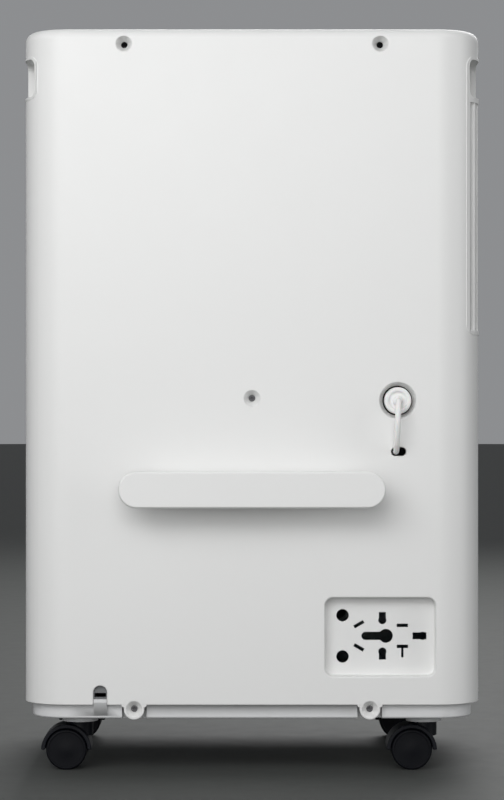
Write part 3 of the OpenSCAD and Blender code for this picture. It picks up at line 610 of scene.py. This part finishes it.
class DEHUMIDIFIER_OT_casing(bpy.types.Operator):
    """Makes the rear and front covers, the top panel and the base tray"""
    bl_idname = "dehumidifier.casing"
    bl_label = "Casing"

    def execute(self, context):
        width = settings("moulding").shell_round
        self.rear()
        self.front()
        piece("top_plate", copied("top_panel"), "casing", casing_plastic(), "top_panel",
              rounding=width * 0.7)
        piece("base_pan", copied("base_tray"), "casing", base_plastic(), "base_tray", smooth=25)
        return {"FINISHED"}

    def half(self, name, node, rearward):
        """One cover: its half of the hollow block, open at the foot and round the top panel."""
        shell = settings("shell")
        low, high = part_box("front_cover")[0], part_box("rear_cover")[1]
        bm = rounded_block(low, high, shell.corner, shell.edge, shell.lip)
        parting = 0.12 * MM
        seam = Vector((0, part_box("rear_cover")[0].y + (parting if rearward else -parting), 0))
        cut = bmesh.ops.bisect_plane(bm, geom=list(bm.verts) + list(bm.edges) + list(bm.faces), plane_co=seam,
                                     plane_no=REARWARD, clear_inner=rearward, clear_outer=not rearward)
        bmesh.ops.contextual_create(bm, geom=[g for g in cut["geom_cut"] if isinstance(g, bmesh.types.BMEdge)])
        bmesh.ops.recalc_face_normals(bm, faces=bm.faces)
        obj = piece(name, bm, "casing", casing_plastic(), node)
        wall = shell.wall
        hollow = rounded_block(low + Vector((wall, wall, -0.05)), high - Vector((wall, wall, wall)),
                               shell.corner - wall, shell.edge - wall)
        carved(obj, hollow)
        size = high - low
        opening = loft(size.x - 2 * shell.rim, size.y - 2 * shell.rim, shell.corner - shell.rim,
                       flared(10 * MM, shell.lip), "up", Vector((0, (low.y + high.y) / 2, high.z)))
        return carved(obj, opening)

    def rear(self):
        """The rear cover with its screw tabs, bosses and wells, its drain port and its openings."""
        obj = self.half("rear_shell", "rear_cover", True)
        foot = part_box("front_cover")[0].z
        for x, z, _ in SCREWS:
            if z * MM < foot:
                self.tab(obj, x * MM, foot)
        for x, z, _ in SCREWS:
            if z * MM > foot:
                carved(obj, lathe(slug(6.6, -13, -1), Vector((x * MM, WALL, z * MM)), steps=48), "UNION")
        for screw in SCREWS:
            carved(obj, self.well(*screw))
        self.drain(obj)
        self.openings(obj)

    def tab(self, obj, x, foot):
        """Adds the tab that hangs below the cover's foot for a screw, then the shoulder it hangs from."""
        wide, tall = 12.6 * MM, 22 * MM
        rings = [(0, -10 * MM), (0, -0.7 * MM), (-0.2 * MM, -0.2 * MM), (-0.7 * MM, 0)]
        middle = Vector((x, WALL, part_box("rear_cover")[0].z + tall / 2))
        carved(obj, loft(wide, tall, half_round(wide), rings, "rear", middle), "UNION")
        wide, tall = 15.6 * MM, 4.4 * MM
        rings = [(0, -2.4 * MM), (0, -0.5 * MM), (-0.15 * MM, -0.15 * MM), (-0.5 * MM, 0)]
        carved(obj, loft(wide, tall, 1.8 * MM, rings, "rear", Vector((x, WALL, foot + 0.5 * MM))), "UNION")

    def well(self, x, z, deep):
        """Cutter of a screw's dished well, with the bores for its head and its shank."""
        head = -SCREW_SEAT - deep
        foot = -6.6 if deep > DEEP_SET else head
        shank_bore, head_bore, brim = 1.15, 2.05, 4.6
        lip = settings("shell").dish_lip / MM
        profile = [(0, -16), (shank_bore, -16), (shank_bore, head - 3), (head_bore, head - 3), (head_bore, foot)]
        profile += arc((brim + lip, -lip), lip, 190, 90, 4) + [(brim + lip + 0.02, 2), (0, 2)]
        return lathe(profile, Vector((x * MM, WALL, z * MM)), steps=48)

    def drain(self, obj):
        """Adds the collar behind the drain port, then cuts the port's mouth and the strap's hole."""
        port = Vector((STRAP_ROUTE[0][0] * MM, WALL, STRAP_ROUTE[0][2] * MM))
        carved(obj, lathe(slug(13, -8, -1), port), "UNION")
        bore, brim = 9.1, 11
        lip = settings("shell").dish_lip / MM
        mouth = [(0, -9), (bore, -9), (bore, -6), (brim, -lip - 0.1)]
        mouth += arc((brim + lip, -lip), lip, 190, 90, 4) + [(brim + lip + 0.05, 2), (0, 2)]
        carved(obj, lathe(mouth, port))
        x, z, wide, tall = (value * MM for value in STRAP_HOLE)
        carved(obj, loft(wide, tall, half_round(tall), flared(6 * MM, settings("shell").lip), "rear",
                         Vector((x, WALL, z))))

    def openings(self, obj):
        """Cuts the openings of the plug rest, the cord and the two side inserts."""
        low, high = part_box("plug_rest")
        carved(obj, loft(high.x - low.x - 2 * PLUG_FLANGE, high.z - low.z - 2 * PLUG_FLANGE, 5.3 * MM,
                         flared(5 * MM, 0.8 * MM), "rear", Vector(((low.x + high.x) / 2, WALL, (low.z + high.z) / 2))))
        low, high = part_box("cord_clamp")
        wide, tall = 8.4 * MM, 40 * MM
        carved(obj, loft(wide, tall, half_round(wide), flared(5 * MM, settings("shell").lip), "rear",
                         Vector(((low.x + high.x) / 2, WALL, CORD_NOTCH_TOP - tall / 2))))
        for node, side, reach in (("left_handle", "left", 25 * MM), ("outlet_grille", "right", 18 * MM)):
            low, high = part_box(node)
            wall_x = high.x if side == "left" else low.x
            carved(obj, loft(high.y - low.y, high.z - low.z, 6 * MM, [(0, -reach), (0, 10 * MM)], side,
                             Vector((wall_x, (low.y + high.y) / 2, (low.z + high.z) / 2))))

    def front(self):
        """The front cover with the openings of the inlet grille and of the tank, which runs out at the foot."""
        obj = self.half("front_shell", "front_cover", False)
        wall_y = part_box("front_cover")[0].y
        gap, corner, lip = 0.4 * MM, 0.5 * MM, settings("shell").lip
        low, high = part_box("inlet_grille")
        carved(obj, loft(high.x - low.x + 2 * gap, high.z - low.z + 2 * gap, corner, flared(8 * MM, lip), "front",
                         Vector((0, wall_y, (low.z + high.z) / 2)), steps=2))
        low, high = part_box("tank_front")
        tall = 400 * MM
        carved(obj, loft(high.x - low.x + 2 * gap, tall, corner, flared(14 * MM, lip), "front",
                         Vector((0, wall_y, high.z + gap - tall / 2)), steps=2))


class DEHUMIDIFIER_OT_side_inserts(bpy.types.Operator):
    """Makes the grip cup and the outlet grille that are let into the sides"""
    bl_idname = "dehumidifier.side_inserts"
    bl_label = "Side inserts"

    def execute(self, context):
        width = settings("moulding").shell_round
        for name, node, part in (("grip_cup", "left_handle", 0.4), ("air_outlet", "outlet_grille", 0.28)):
            bm = copied(node)
            self.roll_mouth(bm, *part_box("left_handle"))  # the grip on the other side is its mirror image
            piece(name, bm, "casing", casing_plastic(), node, rounding=width * part)
        return {"FINISHED"}

    def roll_mouth(self, bm, low, high):
        """Rounds the rim of the grip's mouth, inside its outline."""
        corner = settings("shell").corner
        side, end = high.x, WALL - corner
        skin, margin, sharp = 0.4 * MM, 0.5 * MM, 0.6

        def on_mouth(v):
            """Whether a vertex lies on the casing's side or corner, away from the outline of the insert."""
            if v.co.y < end:
                outside = abs(v.co.x) > side - skin
            else:
                outside = math.hypot(abs(v.co.x) - side + corner, v.co.y - end) > corner - skin
            return outside and all(low[i] + margin < v.co[i] < high[i] - margin for i in (1, 2))

        rim = [e for e in bm.edges if e.is_manifold and e.calc_face_angle() > sharp and all(map(on_mouth, e.verts))]
        bmesh.ops.bevel(bm, geom=rim, offset=0.9 * MM, segments=4, affect="EDGES", profile=0.5, material=-1,
                        clamp_overlap=True)


# ---------------------------------------------------------------- rear fittings

class DEHUMIDIFIER_OT_cord_wrap(bpy.types.Operator):
    """Makes the bar that the mains cord is wound on"""
    bl_idname = "dehumidifier.cord_wrap"
    bl_label = "Cord wrap"

    def execute(self, context):
        piece("cord_bar", copied("cord_wrap"), "casing", casing_plastic(), "cord_wrap",
              rounding=settings("moulding").small_round)
        return {"FINISHED"}


class DEHUMIDIFIER_OT_plug_rest(bpy.types.Operator):
    """Makes the tub with the universal pattern of plug pins"""
    bl_idname = "dehumidifier.plug_rest"
    bl_label = "Plug rest"
    fillet = 1.1 * MM
    floor_thick = 2 * MM

    def execute(self, context):
        bm = copied("plug_rest")
        low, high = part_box("plug_rest")
        rim = [e for e in bm.edges if self.on_tub_floor(e, low, high)]
        bmesh.ops.bevel(bm, geom=rim, offset=self.fillet, segments=5, affect="EDGES", profile=0.5, material=-1,
                        clamp_overlap=False)
        piece("plug_tub", bm, "casing", casing_plastic(), "plug_rest",
              rounding=settings("moulding").small_round * 0.6, steps=2)
        return {"FINISHED"}

    def on_tub_floor(self, edge, low, high):
        """Whether an edge runs round the outline of the tub's floor, and not round a hole in it."""
        floor_y = low.y + self.floor_thick
        corner, band = 7 * MM, 1.6 * MM
        for v in edge.verts:
            inside_x = min(v.co.x - low.x, high.x - v.co.x) - PLUG_FLANGE
            inside_z = min(v.co.z - low.z, high.z - v.co.z) - PLUG_FLANGE
            if abs(v.co.y - floor_y) > 0.01 * MM or min(inside_x, inside_z) > band + 0.1 * MM:
                return False
            if inside_x > corner and 0.1 * MM < inside_z < band:
                return False
        return True


class DEHUMIDIFIER_OT_drain_port(bpy.types.Operator):
    """Makes the drain spigot, its rubber plug and the strap that keeps the plug"""
    bl_idname = "dehumidifier.drain_port"
    bl_label = "Drain port"

    def execute(self, context):
        low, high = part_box("drain_plug")
        middle = Vector(((low.x + high.x) / 2, WALL, (low.z + high.z) / 2))
        # painted shade: the nozzle is coloured near-black and its rim set back, so that it reads as the dark gap round
        # the plug
        nozzle = copied("drain_spigot")
        rim_zone, set_back = 3.2 * MM, 3.1 * MM
        rim = [v for v in nozzle.verts if v.co.y > WALL - rim_zone]
        bmesh.ops.translate(nozzle, vec=-REARWARD * set_back, verts=rim)
        piece("drain_nozzle", nozzle, "casing", nozzle_shade_black(), "drain_spigot")
        self.strap(self.plug(middle))
        return {"FINISHED"}

    def plug(self, middle):
        """The rubber cap over the nozzle, dished round the button that the strap grows from."""
        inner, outer, head = 6.05, 8.2, 2.1
        foot, ceiling = -11, -3.2
        profile = [(0, ceiling), (inner, ceiling), (inner, foot), (outer, foot), (outer, 0.6)]
        profile += arc((outer - 1, head - 1), 1, 0, 90)
        profile += arc((6.2, head - 0.6), 0.6, 90, 180, 4)
        profile += [(5.2, 0.9), (3.9, 0.6), (3.2, 0.9), (2.7, 1.9)] + arc((1.7, 2.3), 1.0, 0, 60, 3) + [(0, 3.4)]
        return piece("drain_cap", lathe(profile, middle), "drain_cap", white_rubber(), "drain_plug",
                     smooth=50)

    def strap(self, plug):
        """The strap and the bead at its far end, which keeps it in its hole."""
        curve = bpy.data.curves.new("drain_strap", "CURVE")
        curve.dimensions = "3D"
        curve.bevel_depth = STRAP_THICK / 2
        curve.bevel_resolution = 5
        curve.use_fill_caps = True
        curve.resolution_u = 6
        line = curve.splines.new("BEZIER")
        line.bezier_points.add(len(STRAP_ROUTE) - 1)
        for point, place in zip(line.bezier_points, STRAP_ROUTE):
            point.co = Vector(place) * MM
            point.handle_left_type = point.handle_right_type = "AUTO"
        curve.materials.append(white_rubber())
        strap = bpy.data.objects.new("drain_strap", curve)
        bpy.context.scene.collection.objects.link(strap)
        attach(strap, "drain_cap")
        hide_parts("drain_plug_tether")
        end = Vector(STRAP_ROUTE[-1]) * MM
        bead = lathe([(0, -0.4)] + arc((2.2, 0.6), 1.0, -90, 0, 4) + arc((1.4, 3.2), 1.8, 0, 50, 4) + [(1.8, 5.2)],
                     end, steps=32)
        knob = piece("strap_bead", bead, "drain_cap", white_rubber(), smooth=60)


class DEHUMIDIFIER_OT_screws(bpy.types.Operator):
    """Makes the small screws that hold the rear cover"""
    bl_idname = "dehumidifier.screws"
    bl_label = "Casing screws"

    def execute(self, context):
        shank, head, rim = 1.08, 1.98, 0.4
        for i, (x, z, deep) in enumerate(SCREWS):
            top = -SCREW_SEAT - deep
            profile = [(0, top - 13.9), (0.7, top - 13.9), (shank, top - 12.5), (shank, top - 2.9), (head, top - 2.9),
                       (head, top - rim)] + arc((head - rim, top - rim), rim, 0, 90, 3) + [(0, top)]
            centre = Vector((x * MM, WALL, z * MM))
            # heads deep in their wells get painted shade: a black that stands in for the wells' shadow; the others get
            # grey zinc
            screw = piece(f"cover_screw_{i}", lathe(profile, centre, steps=32), "casing",
                          painted_shade_black() if deep > DEEP_SET else dull_steel(), "casing_screws")
            face = WALL + (top + 0.5) * MM
            for wide, tall in ((1.0, 0.22), (0.22, 1.0)):
                carved(screw, add_box(bmesh.new(), (centre.x - wide * MM, face - 1.3 * MM, centre.z - tall * MM),
                                      (centre.x + wide * MM, face, centre.z + tall * MM)))
        return {"FINISHED"}


class DEHUMIDIFIER_OT_cord_clamp(bpy.types.Operator):
    """Makes the clamp behind the cord notch"""
    bl_idname = "dehumidifier.cord_clamp"
    bl_label = "Cord clamp"

    def execute(self, context):
        piece("cord_gland", copied("cord_clamp"), "casing", grey_nylon(), "cord_clamp",
              rounding=settings("moulding").small_round)
        return {"FINISHED"}


# ---------------------------------------------------------------- casters

class DEHUMIDIFIER_OT_casters(bpy.types.Operator):
    """Makes the four twin-wheel casters"""
    bl_idname = "dehumidifier.casters"
    bl_label = "Casters"

    def execute(self, context):
        for corner in CORNERS:
            piece(corner + "_hood", copied(corner + "_caster"), corner + "_swivel", caster_nylon(),
                  corner + "_caster", rounding=settings("moulding").shell_round * 0.8)
            finish_node(corner + "_axle", steel())
            for which in ("in", "out"):
                self.wheel(corner, which)
        return {"FINISHED"}

    def wheel(self, corner, which):
        """One wheel, turned from its inner face outwards."""
        node = f"{corner}_wheel_{which}"
        low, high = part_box(node)
        hood_low, hood_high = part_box(corner + "_caster")
        outward = 1 if (low.y + high.y) > (hood_low.y + hood_high.y) else -1
        centre = Vector(((low.x + high.x) / 2, low.y if outward > 0 else high.y, (low.z + high.z) / 2))
        radius = (high.z - low.z) / 2 / MM
        wide = (high.y - low.y) / MM
        bore, hub = 2.05, 5.5
        profile = [(0, wide - 0.8), (bore, wide - 0.8), (bore, 0), (hub, 0), (hub, 1.2), (radius - 3, 1.2),
                   (radius - 2.4, 0)]
        profile += arc((radius - 0.5, 0.5), 0.5, -90, 0, 3)
        profile += arc((radius - 1.2, wide - 1.2), 1.2, 0, 90, 5)
        profile += [(radius - 1.6, wide - 0.05), (radius - 1.9, wide - 0.35), (radius - 4, wide - 0.35),
                    (3.6, wide - 0.15), (3.0, wide - 0.05), (0, wide)]
        piece(node.replace("wheel", "disc"), lathe(profile, centre, REARWARD * outward, 72),
              f"{corner}_roller_{which}", wheel_nylon(), node, smooth=32)


# ---------------------------------------------------------------- top and front

class DEHUMIDIFIER_OT_controls(bpy.types.Operator):
    """Makes the display with its lit digits and the four buttons"""
    bl_idname = "dehumidifier.controls"
    bl_label = "Controls"

    def execute(self, context):
        glass = copied("display_window")
        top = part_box("display_window")[1].z
        sunk = 0.06 * MM  # clears the digits
        bmesh.ops.translate(glass, vec=-UP * sunk, verts=[v for v in glass.verts if v.co.z > top - 0.01 * MM])
        piece("display", glass, "casing", glossy_black(), "display_window", rounding=0.2 * MM)
        for key in ("power", "mode", "humidity", "timer"):
            self.button(key)
        self.digits()
        return {"FINISHED"}

    def button(self, key):
        """A round button on a flange, with a hollowed top."""
        low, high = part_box(key + "_button")
        centre = Vector(((low.x + high.x) / 2, (low.y + high.y) / 2, high.z))
        flange = (high.x - low.x) / 2 / MM
        radius = flange - 1.6
        depth = (low.z - high.z) / MM
        profile = [(0, depth), (flange, depth), (flange, depth + 2), (radius, depth + 2), (radius, -0.7)]
        profile += arc((radius - 0.6, -0.6), 0.6, 0, 90, 4) + [(radius - 2, -0.25), (0, -0.5)]
        cap = lathe(profile, centre, UP, 48)
        piece(key + "_cap", cap, key + "_key", button_plastic(), key + "_button", smooth=50)

    def digits(self):
        """Two lit digits that show a humidity of 55."""
        low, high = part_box("display_window")
        bottom, top = high.z - 0.15 * MM, high.z - 0.03 * MM
        bm = bmesh.new()
        tall, wide, line = 11 * MM, 6 * MM, 1.1 * MM
        for cx in (-5 * MM, 5 * MM):
            for dx, dy, across in ((0, 0.5, 1), (0, 0, 1), (0, -0.5, 1), (-0.5, 0.25, 0), (0.5, -0.25, 0)):
                half_x, half_y = (wide * 0.36, line / 2) if across else (line / 2, tall * 0.19)
                x, y = cx + dx * wide, (low.y + high.y) / 2 + dy * tall
                add_box(bm, (x - half_x, y - half_y, bottom), (x + half_x, y + half_y, top))
        piece("display_digits", bm, "casing", glowing())


class DEHUMIDIFIER_OT_inlet(bpy.types.Operator):
    """Makes the pull-out inlet grille with its filter frame and net"""
    bl_idname = "dehumidifier.inlet"
    bl_label = "Air inlet"

    def execute(self, context):
        width = settings("moulding").shell_round
        piece("inlet_louvre", copied("inlet_grille"), "filter_cassette", casing_plastic(), "inlet_grille",
              rounding=width * 0.8)
        piece("filter_tray", copied("filter_frame"), "filter_cassette", inner_plastic(), "filter_frame",
              rounding=width * 0.6)
        self.net()
        return {"FINISHED"}

    def net(self):
        """The filter's net: upright threads, and level ones that lie against them."""
        low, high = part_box("filter_mesh")
        pitch = settings("coil").net_pitch
        half = 0.16 * MM  # of a thread's width
        y = (low.y + high.y) / 2
        bm = bmesh.new()
        count = int((high.x - low.x) / pitch)
        for i in range(count + 1):
            x = low.x + (high.x - low.x - 2 * half) * i / count + half
            add_box(bm, (x - half, y - half, low.z), (x + half, y + half, high.z))
        count = int((high.z - low.z) / pitch)
        for i in range(count + 1):
            z = low.z + (high.z - low.z - 2 * half) * i / count + half
            add_box(bm, (low.x, y, z - half), (high.x, y + 2 * half, z + half))
        piece("filter_net", bm, "filter_cassette", net_nylon(), "filter_mesh")


# ---------------------------------------------------------------- inside

class DEHUMIDIFIER_OT_chassis(bpy.types.Operator):
    """Makes the chassis, the drip tray and the hose"""
    bl_idname = "dehumidifier.chassis"
    bl_label = "Chassis"

    def execute(self, context):
        width = settings("moulding").shell_round
        for node, name in (("chassis_frame", "chassis"), ("drip_tray", "condensate_tray")):
            piece(name, copied(node), "casing", inner_plastic(), node, rounding=width)
        finish_node("drain_hose", hose_vinyl())
        return {"FINISHED"}


class DEHUMIDIFIER_OT_coils(bpy.types.Operator):
    """Makes the evaporator and the condenser as packs of thin fins on copper tube"""
    bl_idname = "dehumidifier.coils"
    bl_label = "Coils"

    def execute(self, context):
        for coil in ("evaporator", "condenser"):
            self.fins(coil)
            finish_node(coil + "_tube", copper())
        for node in ("capillary_tube", "discharge_pipe", "suction_pipe"):
            finish_node(node, copper())
        return {"FINISHED"}

    def fins(self, coil):
        """A pack of fins between two thicker end plates."""
        low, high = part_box(coil + "_fins")
        fin = settings("coil").fin_thick
        count = round((high.x - low.x) / settings("coil").fin_pitch)
        bm = bmesh.new()
        for i in range(count + 1):
            thick = fin * (4 if i in (0, count) else 1)
            x = low.x + (high.x - low.x - thick) * i / count
            add_box(bm, (x, low.y, low.z), (x + thick, high.y, high.z))
        piece(coil + "_fin_pack", bm, "casing", aluminium(), coil + "_fins")


class DEHUMIDIFIER_OT_compressor(bpy.types.Operator):
    """Makes the compressor, its grommets and the accumulator"""
    bl_idname = "dehumidifier.compressor"
    bl_label = "Compressor"

    def execute(self, context):
        for node in ("compressor", "accumulator"):
            piece(node + "_can", copied(node), "casing", black_enamel(), node,
                  rounding=settings("moulding").shell_round * 2)
        finish_node("compressor_grommets", black_rubber())
        return {"FINISHED"}


class DEHUMIDIFIER_OT_blower(bpy.types.Operator):
    """Makes the blower: its scroll, motor, shaft and wheel"""
    bl_idname = "dehumidifier.blower"
    bl_label = "Blower"

    def execute(self, context):
        width = settings("moulding").shell_round
        piece("blower_scroll", copied("fan_scroll"), "casing", inner_plastic(), "fan_scroll",
              rounding=width * 0.6)
        piece("blower_motor", copied("fan_motor"), "casing", black_enamel(), "fan_motor", rounding=width)
        finish_node("fan_shaft", steel())
        finish_node("fan_wheel", blower_plastic())
        return {"FINISHED"}


class DEHUMIDIFIER_OT_electronics(bpy.types.Operator):
    """Makes the control board"""
    bl_idname = "dehumidifier.electronics"
    bl_label = "Electronics"

    def execute(self, context):
        finish_node("control_board", board_lacquer())
        return {"FINISHED"}


class DEHUMIDIFIER_OT_tank(bpy.types.Operator):
    """Makes the water tank with its front, lid, bail and float"""
    bl_idname = "dehumidifier.tank"
    bl_label = "Water tank"

    def execute(self, context):
        width = settings("moulding").shell_round
        for name, node, body, material, slot, part in (
                ("tank_tub", "tank", "water_tank", clear_tank(), "tank_clear", 1),
                ("tank_face", "tank_front", "water_tank", casing_plastic(), "casing", 1),
                ("tank_cover", "tank_lid", "water_tank", casing_plastic(), "lid", 1),
                ("tank_bail_grip", "tank_handle", "tank_bail", bail_plastic(), "handle", 1.5),
                ("float_block", "float", "tank_float", float_foam(), "foam", 1)):
            piece(name, copied(node), body, material, node, rounding=width * part)
        return {"FINISHED"}


# ---------------------------------------------------------------- add-on

OPERATORS = (
    DEHUMIDIFIER_OT_stage, DEHUMIDIFIER_OT_drain_port, DEHUMIDIFIER_OT_casing, DEHUMIDIFIER_OT_side_inserts,
    DEHUMIDIFIER_OT_cord_wrap, DEHUMIDIFIER_OT_plug_rest, DEHUMIDIFIER_OT_screws, DEHUMIDIFIER_OT_cord_clamp,
    DEHUMIDIFIER_OT_casters, DEHUMIDIFIER_OT_controls, DEHUMIDIFIER_OT_inlet, DEHUMIDIFIER_OT_chassis,
    DEHUMIDIFIER_OT_coils, DEHUMIDIFIER_OT_compressor, DEHUMIDIFIER_OT_blower, DEHUMIDIFIER_OT_electronics,
    DEHUMIDIFIER_OT_tank,
)


class DEHUMIDIFIER_PT_panel(bpy.types.Panel):
    """Lists the settings and the pieces"""
    bl_idname = "DEHUMIDIFIER_PT_panel"
    bl_label = "Dehumidifier"
    bl_space_type = "VIEW_3D"
    bl_region_type = "UI"
    bl_category = "Dehumidifier"

    def draw(self, context):
        for group, kind in SETTINGS.items():
            box = self.layout.box()
            for name in kind.__annotations__:
                box.prop(settings(group), name)
        for operator in OPERATORS:
            self.layout.operator(operator.bl_idname)


CLASSES = (*SETTINGS.values(), *OPERATORS, DEHUMIDIFIER_PT_panel)


def register():
    for item in CLASSES:
        bpy.utils.register_class(item)
    for name, kind in SETTINGS.items():
        setattr(bpy.types.Scene, "dehumidifier_" + name, PointerProperty(type=kind))


def unregister():
    for name in SETTINGS:
        delattr(bpy.types.Scene, "dehumidifier_" + name)
    for item in reversed(CLASSES):
        bpy.utils.unregister_class(item)


def main():
    register()
    for operator in OPERATORS:
        getattr(bpy.ops.dehumidifier, operator.bl_idname.split(".")[1])()


if __name__ == "__main__":
    main()
